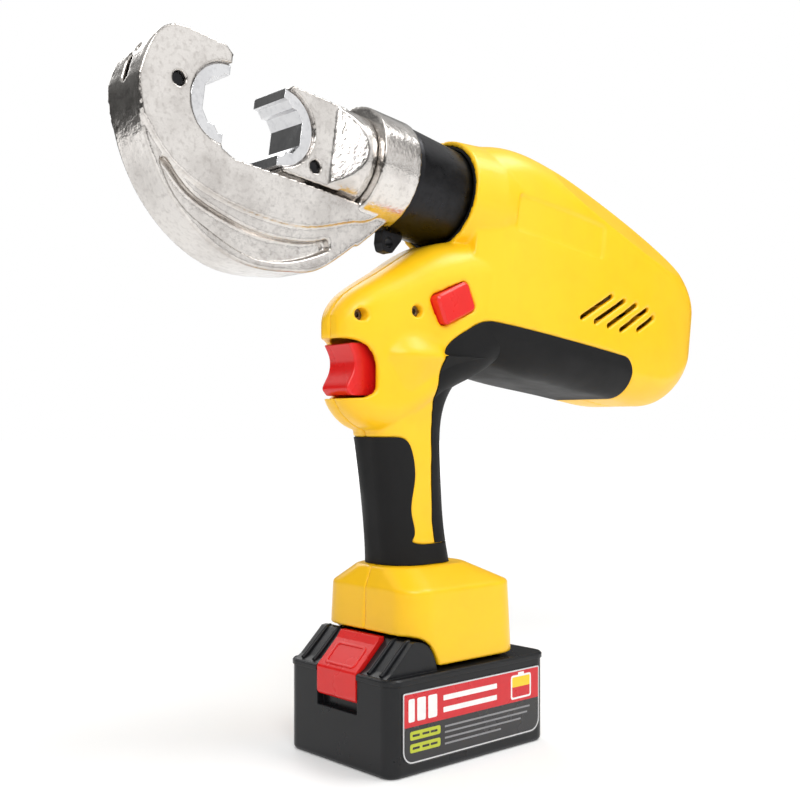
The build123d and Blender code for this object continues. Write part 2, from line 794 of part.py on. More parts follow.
with BuildPart() as battery_case:
    with BuildSketch():
        RectangleRounded(BATTERY_LENGTH - 2 * CASE_INSET, BATTERY_WIDTH - 2 * CASE_INSET, 7)
    extrude(amount=CASE_HEIGHT)
    fillet(battery_case.faces().sort_by(Axis.Z)[0].edges(), radius=2.5)
    with BuildSketch(Plane.XY.offset(2.4)):
        RectangleRounded(BATTERY_LENGTH - 6.2, BATTERY_WIDTH - 6.2, 4)
        with Locations((-52, 0)):
            Rectangle(9, 42, mode=Mode.SUBTRACT)
        with Locations(*SCREW_SPOTS):
            Circle(3.4, mode=Mode.SUBTRACT)
    extrude(amount=CASE_HEIGHT, mode=Mode.SUBTRACT)
    add(button_recess(), mode=Mode.SUBTRACT)
    with BuildSketch():
        with Locations(*SCREW_SPOTS):
            Circle(3.1)
    extrude(amount=2.2, mode=Mode.SUBTRACT)
    with BuildSketch():
        with Locations(*SCREW_SPOTS):
            Circle(1.5)
    extrude(amount=CASE_HEIGHT, mode=Mode.SUBTRACT)
    # Slanting grip notches along the front's lower edge.
    for y in (-30, -21, -12, -3):
        notch_plane = Plane(origin=(-BATTERY_LENGTH / 2, y, 0), x_dir=(0, 1, 0), z_dir=(-1, 0, 0))
        with BuildSketch(notch_plane.offset(-1.6)):
            with BuildLine():
                Polyline((0, -1), (3, -1), (6.5, 6.5), (3.5, 6.5), close=True)
            make_face()
        extrude(amount=5, mode=Mode.SUBTRACT)
save(battery_case, "battery_case")

with BuildPart() as battery_lid:
    with BuildSketch(Plane.XY.offset(CASE_HEIGHT)):
        RectangleRounded(BATTERY_LENGTH, BATTERY_WIDTH, 7.7)
    extrude(amount=RIM_TOP - CASE_HEIGHT)
    chamfer(battery_lid.faces().sort_by(Axis.Z)[-1].edges(), length=0.9)
    # The wedge in front of the tool's foot and the rail platform under it.
    with BuildSketch(Plane.XZ) as wedge_side:
        with BuildLine():
            slope = Polyline((-54, RIM_TOP), (-50.5, 49), (-36.8, 62), (-34.5, 62.3))
            crest = Spline(slope @ 1, (-27, 59.5), (-20.7, RIM_TOP), tangents=((1, -0.1), (0.25, -1)))
            Line(crest @ 1, slope @ 0)
        make_face()
    extrude(amount=35.5, both=True)
    with BuildSketch(Plane.XY.offset(RIM_TOP)):
        with Locations((1, 0)):
            Rectangle(68, 50)
    extrude(amount=5.4)
    with BuildSketch(Plane.XY.offset(RIM_TOP + 5.2)):
        with Locations((-0.5, 0)):
            Rectangle(65, 59)
    extrude(amount=8.3)
    with BuildSketch(Plane.XY.offset(RIM_TOP + 1)):
        for y in (-32, 32):
            with Locations((12, y)):
                Rectangle(64, 13)
    extrude(amount=4.2, mode=Mode.SUBTRACT)
    with BuildSketch(Plane.XY.offset(CASE_HEIGHT - 1)):
        with Locations((1, 0)):
            Rectangle(60, 44)
    extrude(amount=14, mode=Mode.SUBTRACT)
    add(button_recess(), mode=Mode.SUBTRACT)
    with BuildSketch(Plane.XY.offset(45)):
        with Locations((-39.1, 0)):
            Circle(3.4)
    extrude(amount=12, mode=Mode.SUBTRACT)
    with BuildSketch(Plane.XY.offset(53)):
        with Locations(*[(17, y) for y in BLADES]):
            Rectangle(58, 2.2)
    extrude(amount=10, mode=Mode.SUBTRACT)
    with BuildSketch(Plane.XY.offset(CASE_HEIGHT - 1)):
        with Locations(*SCREW_SPOTS):
            Circle(1.5)
    extrude(amount=3, mode=Mode.SUBTRACT)
save(battery_lid, "battery_lid")

with BuildPart() as battery_button:
    with BuildSketch(Plane.XZ) as button_side:
        with BuildLine():
            Polyline((-43.2, 59.2), (-55.9, 46.8), (-55.9, 34), (-54.5, 32.5), (-52.2, 32.5), (-52.2, 45.2),
                     (-41, 56), (-37.5, 56), (-37.5, 62.8), (-40.5, 62.8), close=True)
        make_face()
        fillet(button_side.vertices().sort_by(Axis.X)[0:2], radius=2)
    extrude(amount=15, both=True)
save(battery_button, "battery_button")

with BuildPart() as battery_button_spring:
    add(coil(Plane(origin=(-39.1, 0, 45.1)), 2.4, 0.7, 10.8, 6))
save(battery_button_spring, "battery_button_spring")

with BuildPart() as battery_cells:
    with BuildSketch(Plane.XZ.offset(-32.5)):
        with Locations((0, 21.5)):
            with GridLocations(18.6, 18.6, 5, 2):
                Circle(CELL_RADIUS)
    extrude(amount=65)
save(battery_cells, "battery_cells")

with BuildPart() as cell_holders:
    for y in (-35.5, 32.7):
        with BuildSketch(Plane.XZ.offset(-y)):
            with Locations((0, 21.5)):
                RectangleRounded(92, 37, 4)
                with GridLocations(18.6, 18.6, 5, 2):
                    Circle(6, mode=Mode.SUBTRACT)
        extrude(amount=-2.8)
save(cell_holders, "cell_holders")

with BuildPart() as cell_board:
    with BuildSketch(Plane.XY.offset(40.8)):
        with Locations((6, 0)):
            RectangleRounded(80, 58, 2)
    extrude(amount=1.6)
save(cell_board, "cell_board")

with BuildPart() as battery_contacts:
    with BuildSketch(Plane.XY.offset(42.4)):
        for y in BLADES:
            with Locations((-5, y)):
                Rectangle(9, 4.5)
    extrude(amount=14)
    with BuildSketch(Plane.XY.offset(46)):
        for y in BLADES:
            with Locations((-5, y)):
                Rectangle(20, 1.2)
    extrude(amount=20, mode=Mode.SUBTRACT)
save(battery_contacts, "battery_contacts")

with BuildPart() as battery_screws:
    with BuildSketch(Plane.XY.offset(0.5)):
        with Locations(*SCREW_SPOTS):
            Circle(2.9)
            RegularPolygon(radius=1.5, side_count=6, mode=Mode.SUBTRACT)
    extrude(amount=1.7)
    with BuildSketch(Plane.XY.offset(2.2)):
        with Locations(*SCREW_SPOTS):
            Circle(1.5)
    extrude(amount=43.8)
save(battery_screws, "battery_screws")

with BuildPart() as battery_labels:
    for face in (-1, 1):
        with BuildSketch(Plane.XZ.offset(-face * (BATTERY_WIDTH / 2 - CASE_INSET))):
            with Locations((1, 23.3)):
                RectangleRounded(98, 35, 4)
        extrude(amount=-face * 0.4)
save(battery_labels, "battery_labels")

# ---- Housing ------------------------------------------------------------------------------------------

# Housing screws: the (x, z) of the axis, the side the head is on, the head's seat and the tip, both as y.
SCREWS = [
    (-50.5, 221.0, -1, 8.0, 8.0),
    (-21.0, 224.0, -1, 17.0, 14.0),
    (*at(-222, -30), 1, 25.0, 14.0),
    (*at(-112, 26), 1, 20.0, 14.0),
    (30.0, 77.5, 1, 31.0, 14.0),
    (-25.0, 77.5, 1, 31.0, 14.0),
]


def cross_wall(u, low, high, cylinder_drop, radius):
    """A wall across the barrel with a round hole for what it holds and a window for the bladder."""
    with BuildPart() as wall:
        with BuildSketch(across(u, (low + high) / 2)):
            Rectangle(80, high - low)
        extrude(amount=3)
        with BuildSketch(across(u - 1, cylinder_drop)):
            Circle(radius)
        extrude(amount=5, mode=Mode.SUBTRACT)
        if u < -130:
            with BuildSketch(across(u - 1, 13)):
                Rectangle(43, 23)
            extrude(amount=5, mode=Mode.SUBTRACT)
    return wall.part


with BuildPart() as hollow:
    add(cavity)
    add(cross_wall(-53, -34, 40, 0, CYLINDER_RADIUS + 0.1), mode=Mode.SUBTRACT)
    add(cross_wall(-143, -56, 40, MOTOR_DROP, 20.1), mode=Mode.SUBTRACT)
    add(cross_wall(-181, -56, 40, MOTOR_DROP, 20.1), mode=Mode.SUBTRACT)
    for x, z, side, seat, tip in SCREWS:
        with BuildSketch(Plane.XZ.offset(40)):
            with Locations((x, z)):
                Circle(3.8)
        extrude(amount=-80, mode=Mode.SUBTRACT)
    # The foot's rails and the floor that carries the terminal block.
    for y in (-33, 33):
        with BuildSketch(Plane.XY.offset(48)):
            with Locations((12, y)):
                Rectangle(60, 15)
        extrude(amount=3.7, mode=Mode.SUBTRACT)
    with BuildSketch(Plane.XY.offset(61.3)):
        with Locations((6, 0)):
            Rectangle(68, 80)
        with Locations((28, 0)):
            Rectangle(10, 20, mode=Mode.SUBTRACT)
        with Locations(*[(1, y) for y in BLADES]):
            Rectangle(23, 1.6, mode=Mode.SUBTRACT)
    extrude(amount=2.7, mode=Mode.SUBTRACT)

with BuildPart() as side_field:
    with BuildSketch(SIDE):
        with Locations((-102, -4)):
            RectangleRounded(70, 20, 3)
    extrude(amount=60, both=True)
    add(barrel(0.8), mode=Mode.SUBTRACT)

with BuildPart() as shell:
    add(outer)
    add(hollow.part, mode=Mode.SUBTRACT)
    add(skin(front_grip_region(SEAM)), mode=Mode.SUBTRACT)
    add(skin(rear_pad_region(SEAM)), mode=Mode.SUBTRACT)
    # The mouth for the collar.
    with BuildSketch(across(-54)):
        Circle(28.4)
    extrude(amount=30, mode=Mode.SUBTRACT)
    # The notch for the trigger, and the cut that uncovers the battery's wedge.
    with BuildSketch(Plane.XZ):
        with BuildLine():
            notch = Spline((-56, 209.6), (-47, 205.6), (-42.9, 196.5), (-42.9, 187), (-49, 180.4),
                           tangents=((1, -0.2), (-1, -0.4)))
            Polyline(notch @ 1, (-72, 179.5), (-72, 210), notch @ 0)
        make_face()
    extrude(amount=40, both=True, mode=Mode.SUBTRACT)
    with BuildSketch(Plane.XZ):
        with BuildLine():
            lip = Spline((-34.5, 64), (-26, 60.5), (-19.5, 48), tangents=((1, -0.05), (0.25, -1)))
            Polyline(lip @ 1, (-19.5, 40), (-60, 40), (-60, 64), lip @ 0)
        make_face()
    extrude(amount=60, both=True, mode=Mode.SUBTRACT)
    # The release button's hole in the right side.
    with BuildSketch(Plane.XZ.offset(12)):
        add(side_button_face(GAP))
    extrude(amount=40, mode=Mode.SUBTRACT)
    # Cooling vents: slanting slots on both sides at the motor's fan.
    vent_angle = 180 - 35
    with BuildSketch(SIDE) as vents:
        for number in range(5):
            length = 34 if number < 4 else 22
            with Locations(Location((-136 - 12 * number, -41, 0), vent_angle)):
                SlotOverall(length, 2.8)
    extrude(amount=60, both=True, mode=Mode.SUBTRACT)
    # A shallow rectangular field on both sides of the barrel.
    add(side_field.part, mode=Mode.SUBTRACT)
    for x, z, side, seat, tip in SCREWS:
        with BuildSketch(Plane.XZ.offset(-side * seat)):
            with Locations((x, z)):
                Circle(3.1)
        extrude(amount=-side * 30, mode=Mode.SUBTRACT)
        with BuildSketch(Plane.XZ.offset(-side * seat)):
            with Locations((x, z)):
                Circle(1.3)
        extrude(amount=side * (seat + tip), mode=Mode.SUBTRACT)

for name, keep in (("housing_right", Keep.TOP), ("housing_left", Keep.BOTTOM)):
    with BuildPart() as housing:
        add(shell.part)
        split(bisect_by=Plane.XZ, keep=keep)
    save(housing, name)

with BuildPart() as housing_screws:
    for x, z, side, seat, tip in SCREWS:
        with BuildSketch(Plane.XZ.offset(-side * seat)):
            with Locations((x, z)):
                Circle(2.8)
                RegularPolygon(radius=1.4, side_count=6, mode=Mode.SUBTRACT)
        extrude(amount=-side * 1.9)
        with BuildSketch(Plane.XZ.offset(-side * seat)):
            with Locations((x, z)):
                Circle(1.3)
        extrude(amount=side * (seat + tip - 1))
save(housing_screws, "housing_screws")
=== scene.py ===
import json
import math

import bmesh
import bpy
from mathutils import Matrix, Vector


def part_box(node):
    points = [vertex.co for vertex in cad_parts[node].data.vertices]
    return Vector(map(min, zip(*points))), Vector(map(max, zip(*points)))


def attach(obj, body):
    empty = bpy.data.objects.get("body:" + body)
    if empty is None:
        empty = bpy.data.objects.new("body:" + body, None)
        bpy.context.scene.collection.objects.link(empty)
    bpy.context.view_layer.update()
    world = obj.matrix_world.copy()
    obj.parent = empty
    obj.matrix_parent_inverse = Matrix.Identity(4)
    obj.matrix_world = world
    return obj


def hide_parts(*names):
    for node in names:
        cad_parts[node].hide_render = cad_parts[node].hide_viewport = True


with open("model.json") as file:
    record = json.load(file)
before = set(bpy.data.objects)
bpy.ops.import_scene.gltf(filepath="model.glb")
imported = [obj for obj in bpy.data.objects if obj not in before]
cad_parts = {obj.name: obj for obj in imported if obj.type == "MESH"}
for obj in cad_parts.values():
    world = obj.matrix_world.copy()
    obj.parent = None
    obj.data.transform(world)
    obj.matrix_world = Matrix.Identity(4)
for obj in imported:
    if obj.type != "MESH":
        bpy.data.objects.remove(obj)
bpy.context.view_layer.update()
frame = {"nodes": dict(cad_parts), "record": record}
nodes = frame["nodes"]
scene = bpy.context.scene

# ---- The barrel's own directions, as in the CAD: u forward, v upward across it, y to the left ----------

TILT = math.radians(8.0)
FORWARD = Vector((-math.cos(TILT), 0.0, math.sin(TILT)))
UPWARD = Vector((math.sin(TILT), 0.0, math.cos(TILT)))
AXIS_POINT = Vector((-0.0247, 0.0, 0.2936))


def barrel_point(u, v, y=0.0):
    """A point in metres from barrel coordinates in millimetres."""
    return AXIS_POINT + (FORWARD * u + UPWARD * v + Vector((0.0, y, 0.0))) / 1000.0


# ---- Materials ------------------------------------------------------------------------------------------

NOISE_ROUGHNESS = 0.55
EDGE_SAMPLES = 6
# How deep, in metres, the wide unevenness of a moulding and the finest grain of a metal are.
MOULD_WAVE = 0.00012
METAL_GRAIN = 0.00001


class Surface:
    """One procedural material: drifting colour and roughness, grain, and paler edges, partly worn and partly
    a painted highlight.
    """

    def __init__(self, name, colour, rough, metal=0.0, specular=0.5):
        self.material = bpy.data.materials.new(name)
        self.material.use_nodes = True
        self.tree = self.material.node_tree
        self.shader = self.tree.nodes["Principled BSDF"]
        self.shader.inputs["Metallic"].default_value = metal
        self.shader.inputs["Specular IOR Level"].default_value = specular
        self.shader.inputs["Roughness"].default_value = rough
        self.shader.inputs["Base Color"].default_value = (*colour, 1.0)
        self.place = self.node("ShaderNodeTexCoord").outputs["Object"]
        self.colour = None
        self.normal = None
        self.base = (*colour, 1.0)
        self.rough = rough

    def node(self, kind, **settings):
        made = self.tree.nodes.new(kind)
        for key, value in settings.items():
            setattr(made, key, value)
        return made

    def link(self, source, target):
        self.tree.links.new(source, target)

    def noise(self, scale, detail=3.0, stretch=None):
        """Soft noise with about scale features to the metre."""
        noise = self.node("ShaderNodeTexNoise")
        noise.inputs["Scale"].default_value = scale
        noise.inputs["Detail"].default_value = detail
        noise.inputs["Roughness"].default_value = NOISE_ROUGHNESS
        place = self.place
        if stretch:
            mapping = self.node("ShaderNodeMapping")
            mapping.inputs["Scale"].default_value = stretch
            self.link(place, mapping.inputs["Vector"])
            place = mapping.outputs["Vector"]
        self.link(place, noise.inputs["Vector"])
        return noise.outputs["Fac"]

    def ramp(self, value, low, high, start=0.0, end=1.0):
        """The value, moved from the range low..high to start..end."""
        ramp = self.node("ShaderNodeMapRange")
        ramp.inputs["From Min"].default_value = low
        ramp.inputs["From Max"].default_value = high
        ramp.inputs["To Min"].default_value = start
        ramp.inputs["To Max"].default_value = end
        self.link(value, ramp.inputs["Value"])
        return ramp.outputs["Result"]

    def math(self, operation, first, second=None):
        made = self.node("ShaderNodeMath", operation=operation)
        for socket, value in zip(made.inputs, (first, second)):
            if value is None:
                continue
            if isinstance(value, (int, float)):
                socket.default_value = value
            else:
                self.link(value, socket)
        return made.outputs["Value"]

    def blend(self, factor, colour):
        """Mixes another colour in where the factor is high."""
        mix = self.node("ShaderNodeMix", data_type="RGBA")
        self.link(factor, mix.inputs["Factor"])
        if self.colour is None:
            mix.inputs["A"].default_value = self.base
        else:
            self.link(self.colour, mix.inputs["A"])
        mix.inputs["B"].default_value = (*colour, 1.0)
        self.colour = mix.outputs["Result"]
        self.link(self.colour, self.shader.inputs["Base Color"])

    def drift(self, colour, scale, low=0.35, high=0.7, amount=1.0):
        """Slow patches of a second colour."""
        self.blend(self.ramp(self.noise(scale), low, high, 0.0, amount), colour)

    def smudge(self, scale, spread, stretch=None):
        """Roughness that wanders by spread to each side."""
        value = self.ramp(self.noise(scale, 4.0, stretch), 0.3, 0.7, self.rough - spread,
                          self.rough + spread)
        self.link(value, self.shader.inputs["Roughness"])

    def bump(self, height, strength, depth):
        """A relief of depth metres from a height value."""
        bump = self.node("ShaderNodeBump")
        bump.inputs["Strength"].default_value = strength
        bump.inputs["Distance"].default_value = depth
        self.link(height, bump.inputs["Height"])
        if self.normal is not None:
            self.link(self.normal, bump.inputs["Normal"])
        self.normal = bump.outputs["Normal"]
        self.link(self.normal, self.shader.inputs["Normal"])

    def rounded(self, radius):
        """Softly rounded edges, as a mould or a tumbled casting leaves."""
        bevel = self.node("ShaderNodeBevel", samples=EDGE_SAMPLES)
        bevel.inputs["Radius"].default_value = radius
        if self.normal is not None:
            self.link(self.normal, bevel.inputs["Normal"])
        self.normal = bevel.outputs["Normal"]
        self.link(self.normal, self.shader.inputs["Normal"])

    def edges(self, radius):
        """A value that is high along outer and inner edges."""
        bevel = self.node("ShaderNodeBevel", samples=EDGE_SAMPLES)
        bevel.inputs["Radius"].default_value = radius
        facing = self.node("ShaderNodeNewGeometry")
        dot = self.node("ShaderNodeVectorMath", operation="DOT_PRODUCT")
        self.link(bevel.outputs["Normal"], dot.inputs[0])
        self.link(facing.outputs["Normal"], dot.inputs[1])
        return self.ramp(dot.outputs["Value"], 0.995, 0.9)

    def wear_and_highlight(self, radius, colour, scale, amount):
        """Paler edges, partly rubbed wear and partly a painted highlight: a second colour along the edges,
        broken up by noise.
        """
        broken = self.ramp(self.noise(scale, 5.0), 0.42, 0.62, 0.0, amount)
        self.blend(self.math("MULTIPLY", self.edges(radius), broken), colour)


def moulded(name, colour, light, rough, grain=0.00003, scale=1900.0, edge=0.0006, specular=0.5):
    """Moulded plastic: slight colour drift, a fine spark-eroded texture, and paler edges, partly rubbed and
    partly a painted highlight.
    """
    made = Surface(name, colour, rough, specular=specular)
    made.drift(light, 14.0, amount=0.45)
    made.drift(tuple(c * 0.86 for c in colour), 55.0, 0.45, 0.8, 0.4)
    # Paler outer and inner edges: rubbed wear and a painted highlight.
    made.wear_and_highlight(edge, light, 240.0, 0.6)
    made.smudge(30.0, rough * 0.18)
    made.rounded(edge)
    made.bump(made.noise(scale, 2.0), 0.35, grain)
    made.bump(made.noise(60.0, 2.0), 0.25, MOULD_WAVE)
    return made


def metal(name, colour, shade, rough, cast=0.0, edge=0.0005, painted_edge_shade=None, stretch=None):
    """Bare or plated metal: patchy tone, a cast or turned relief, and edges darkened by painted shade or
    made paler by rubbed wear and a painted highlight.
    """
    made = Surface(name, colour, rough, metal=1.0)
    made.drift(shade, 45.0, 0.45, 0.75, 0.5)
    made.drift(shade, 420.0, 0.5, 0.8, 0.5)
    if painted_edge_shade:
        # Painted shade: a dark line along the outer and inner edges.
        made.blend(made.math("MULTIPLY", made.edges(edge * 2), 0.8), painted_edge_shade)
    else:
        # Brighter outer and inner edges: rubbed wear and a painted highlight.
        made.wear_and_highlight(edge, tuple(min(1.0, c * 1.25) for c in colour), 300.0, 0.8)
    made.smudge(160.0, rough * 0.35, stretch=stretch)
    made.rounded(edge)
    if cast:
        made.bump(made.noise(330.0, 3.0), 0.6, cast)
        made.bump(made.noise(900.0, 2.0), 0.4, cast * 0.25)
    made.bump(made.noise(2600.0, 2.0, stretch=stretch), 0.4, METAL_GRAIN)
    return made


yellow = moulded("yellow_housing", (1.0, 0.56, 0.004), (1.0, 0.62, 0.02), 0.36)
rubber = moulded("black_grip_rubber", (0.006, 0.006, 0.0065), (0.013, 0.013, 0.0135), 0.55, 0.00006,
                 scale=1500.0, specular=0.2)
red = moulded("red_control_plastic", (0.72, 0.008, 0.008), (0.82, 0.03, 0.02), 0.27)
dark = moulded("dark_battery_plastic", (0.009, 0.0095, 0.011), (0.018, 0.019, 0.021), 0.3, specular=0.28)
black = moulded("black_plastic", (0.01, 0.01, 0.01), (0.02, 0.02, 0.02), 0.42, specular=0.25)
wrap = moulded("cell_wrap", (0.03, 0.16, 0.42), (0.06, 0.24, 0.5), 0.3)
board = moulded("circuit_board", (0.01, 0.12, 0.04), (0.03, 0.2, 0.08), 0.35)
# The forging's edges get painted shade: a dark brownish line along its outer and inner edges.
plated = metal("plated_forging", (0.72, 0.69, 0.66), (0.3, 0.27, 0.25), 0.19, cast=0.00034, edge=0.0011,
               painted_edge_shade=(0.22, 0.19, 0.16))
chrome = metal("chromed_die", (0.7, 0.7, 0.71), (0.42, 0.42, 0.44), 0.13, edge=0.0004)
turned = metal("turned_steel", (0.6, 0.6, 0.61), (0.4, 0.4, 0.41), 0.24, stretch=(1.0, 1.0, 12.0))
oxide = metal("black_oxide", (0.03, 0.03, 0.032), (0.015, 0.015, 0.016), 0.36, edge=0.0004)
wire = metal("spring_wire", (0.5, 0.5, 0.52), (0.3, 0.3, 0.31), 0.25)
zinc = metal("dark_screw", (0.2, 0.17, 0.13), (0.08, 0.06, 0.05), 0.35)
motor_steel = metal("motor_steel", (0.45, 0.45, 0.47), (0.3, 0.3, 0.31), 0.3)
alloy = metal("aluminium", (0.75, 0.75, 0.77), (0.55, 0.55, 0.57), 0.3)
brass = metal("brass", (0.78, 0.58, 0.25), (0.5, 0.35, 0.12), 0.22)
printed = moulded("label_film", (0.02, 0.02, 0.022), (0.03, 0.03, 0.032), 0.25)

FINISH = {
    "yellow_plastic": yellow, "black_rubber": rubber, "red_plastic": red, "black_plastic": black,
    "dark_plastic": dark, "plated_steel": plated, "chrome_steel": chrome, "machined_steel": turned,
    "black_oxide": oxide, "spring_steel": wire, "screw_steel": zinc, "motor_steel": motor_steel,
    "aluminium": alloy, "brass": brass, "circuit_board": board, "cell_wrap": wrap, "label": printed,
}
for entry in frame["record"]["subparts"]:
    mesh = nodes[entry["node"]].data
    mesh.materials.clear()
    mesh.materials.append(FINISH[entry["material_slot"]].material)

# ---- Forged head and moulded housing --------------------------------------------------------------------

# Vertices nearer than this are joined, in metres.
WELD = 2e-6
# The bevel along the barrel's upper edge: how its normal leans up, outward and back, where along the
# barrel its height is given, and that height times the upward lean, in millimetres.
BEVEL_UP = 0.64
BEVEL_OUT = 0.77
BEVEL_BACK = 0.145
BEVEL_U = -140
BEVEL_REACH = 32.8
# The wall left under the bevel and how far the blend at the grip's shoulder reaches, in metres, and the
# smoothing passes the blend takes.
WALL = 0.0026
BLEND_REACH = 0.011
BLEND_PASSES = 60


def barrel_facet(side):
    """The flat bevel along the barrel's upper edge: (normal, a point on it) in metres."""
    normal = (UPWARD * BEVEL_UP + Vector((0, side * BEVEL_OUT, 0)) - FORWARD * BEVEL_BACK).normalized()
    return normal, barrel_point(BEVEL_U, BEVEL_REACH / BEVEL_UP)


def press(mesh, normal, point):
    """Flattens what stands beyond a plane: the outer skin onto it, the lining a wall's depth under it."""
    outward = [vertex.normal.dot(normal) > 0 for vertex in mesh.vertices]
    for vertex, outer in zip(mesh.vertices, outward):
        limit = 0.0 if outer else -WALL
        beyond = (vertex.co - point).dot(normal) - limit
        if beyond > 0:
            vertex.co -= normal * beyond


# Along the grip's shoulder, in millimetres: x, the grip's half width, the nose's, the blend's height. The
# half widths were taken from rays cast at the imported housing; the heights were chosen.
SHOULDER = [
    (-39.0, 18.6, 18.2, 1.0),
    (-35.0, 22.6, 19.1, 5.0),
    (-31.0, 25.7, 20.1, 8.5),
    (-27.0, 27.5, 21.0, 10.0),
    (-23.0, 28.5, 21.8, 10.5),
    (-19.0, 28.8, 22.6, 10.0),
    (-15.0, 28.8, 23.5, 9.0),
    (-11.0, 28.8, 24.4, 7.0),
    (-8.0, 28.7, 24.9, 5.0),
]
# Where the blend starts, just above the CAD's ledge, and how far its body runs down and in from there.
LEDGE = 202.2
ROOT = 1.5
DEPTH = 2.0


def fill_shoulder(shape, side):
    """A blend over the ledge where the grip's swell ends under the nose, closed at both ends."""
    rows = []
    for x, grip, nose, rise in SHOULDER:
        outline = [
            (grip - 0.2, LEDGE - ROOT),
            (grip - 0.1, LEDGE),
            (nose, LEDGE + rise),
            (nose - DEPTH, LEDGE + rise),
            (nose - DEPTH, LEDGE - ROOT),
        ]
        rows.append([shape.verts.new((x / 1000, side * y / 1000, z / 1000)) for y, z in outline])
    faces = [rows[0], rows[-1][::-1]]
    for here, there in zip(rows, rows[1:]):
        for i in range(len(here)):
            j = (i + 1) % len(here)
            faces.append([here[j], here[i], there[i], there[j]])
    for corners in faces:
        shape.faces.new(corners if side > 0 else corners[::-1])


def ease(made, start, end, reach, passes):
    """Smooths a mesh round a line, less and less towards reach, so that two forms run into each other."""
    line = end - start
    group = made.vertex_groups.new(name="blend")
    for vertex in made.data.vertices:
        along = min(1.0, max(0.0, (vertex.co - start).dot(line) / line.length_squared))
        weight = 1.0 - (vertex.co - start - line * along).length / reach
        if weight > 0:
            group.add([vertex.index], min(1.0, 2 * weight), "REPLACE")
    smooth = made.modifiers.new("blend", "SMOOTH")
    smooth.vertex_group = "blend"
    smooth.iterations = passes
    settle(made)
    made.vertex_groups.clear()


def blend_shoulder(made, side):
    """Smooths a housing half along the middle of its filled shoulder."""
    front = Vector((-0.036, side * 0.024, 0.206))
    rear = Vector((-0.013, side * 0.0265, 0.206))
    ease(made, front, rear, BLEND_REACH, BLEND_PASSES)


def softened(node, name, voxel, passes, body, finish, facets=(), side=0):
    """A copy of a CAD node with its edges rounded, in its place; side is -1 or 1 for a housing half."""
    shape = bmesh.new()
    shape.from_mesh(nodes[node].data)
    bmesh.ops.remove_doubles(shape, verts=shape.verts, dist=WELD)
    if side:
        fill_shoulder(shape, side)
    mesh = bpy.data.meshes.new(name)
    shape.to_mesh(mesh)
    shape.free()
    made = bpy.data.objects.new(name, mesh)
    scene.collection.objects.link(made)
    remesh = made.modifiers.new("remesh", "REMESH")
    remesh.mode = "VOXEL"
    remesh.voxel_size = voxel
    remesh.use_smooth_shade = True
    settle(made)
    for normal, point in facets:
        press(made.data, normal, point)
    smooth = made.modifiers.new("smooth", "SMOOTH")
    smooth.factor = 0.5
    smooth.iterations = passes
    settle(made)
    if side:
        blend_shoulder(made, side)
    made.data.materials.clear()
    made.data.materials.append(FINISH[finish].material)
    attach(made, body)
    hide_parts(node)


def settle(made):
    """Turns an object's modifiers into its own mesh."""
    made.data = bpy.data.meshes.new_from_object(made.evaluated_get(bpy.context.evaluated_depsgraph_get()))
    made.modifiers.clear()


softened("c_head", "forged_head", 0.0007, 3, "head", "plated_steel")
softened("ram", "ram_tongue", 0.0007, 3, "ram", "plated_steel")
for half, side in (("housing_right", -1), ("housing_left", 1)):
    softened(half, half + "_shell", 0.0009, 4, "housing", "yellow_plastic", [barrel_facet(side)], side)

# ---- Battery labels -------------------------------------------------------------------------------------


def plain(name, colour, rough):
    """Printed ink: even colour with a faint mottle and a little gloss."""
    made = Surface(name, colour, rough)
    made.drift(tuple(c * 0.85 for c in colour), 400.0, 0.4, 0.75, 0.5)
    made.smudge(60.0, 0.06)
    made.bump(made.noise(700.0, 2.0), 0.15, 0.00003)
    return made


ink_red = plain("label_red", (0.62, 0.012, 0.02), 0.3)
ink_silver = plain("label_silver", (0.62, 0.62, 0.63), 0.32)
ink_white = plain("label_white", (0.88, 0.87, 0.86), 0.35)
ink_yellow = plain("label_yellow", (0.95, 0.62, 0.02), 0.35)
ink_lime = plain("label_lime", (0.5, 0.55, 0.03), 0.35)
ink_grey = plain("label_grey", (0.25, 0.25, 0.26), 0.4)
LABEL_INKS = [printed, ink_red, ink_silver, ink_white, ink_yellow, ink_lime, ink_grey]


def rounded_outline(low, high, radii, steps=6):
    """Corners of a rectangle from low to high; radii start at the lower left and go round."""
    centres = [(low[0], low[1]), (high[0], low[1]), (high[0], high[1]), (low[0], high[1])]
    inward = [(1, 1), (-1, 1), (-1, -1), (1, -1)]
    points = []
    for corner, (centre, side, radius) in enumerate(zip(centres, inward, radii)):
        middle = (centre[0] + side[0] * radius, centre[1] + side[1] * radius)
        if radius <= 0:
            points.append(middle)
            continue
        for step in range(steps + 1):
            angle = math.pi + corner * math.pi / 2 + step / steps * math.pi / 2
            points.append((middle[0] + radius * math.cos(angle), middle[1] + radius * math.sin(angle)))
    return points


def slab(shape, outline, bottom, top, ink):
    """A closed flat slab between two heights, in millimetres."""
    rings = [[shape.verts.new((x, y, z)) for x, y in outline] for z in (bottom, top)]
    made = [shape.faces.new(rings[0][::-1]), shape.faces.new(rings[1])]
    count = len(outline)
    for i in range(count):
        j = (i + 1) % count
        made.append(shape.faces.new((rings[0][i], rings[0][j], rings[1][j], rings[1][i])))
    for face in made:
        face.material_index = LABEL_INKS.index(ink)


def bar(shape, x, y, width, height, ink, top=0.1, radius=0.3):
    """A small printed block by its lower left corner."""
    slab(shape, rounded_outline((x, y), (x + width, y + height), [radius] * 4, 3), 0.02, top, ink)


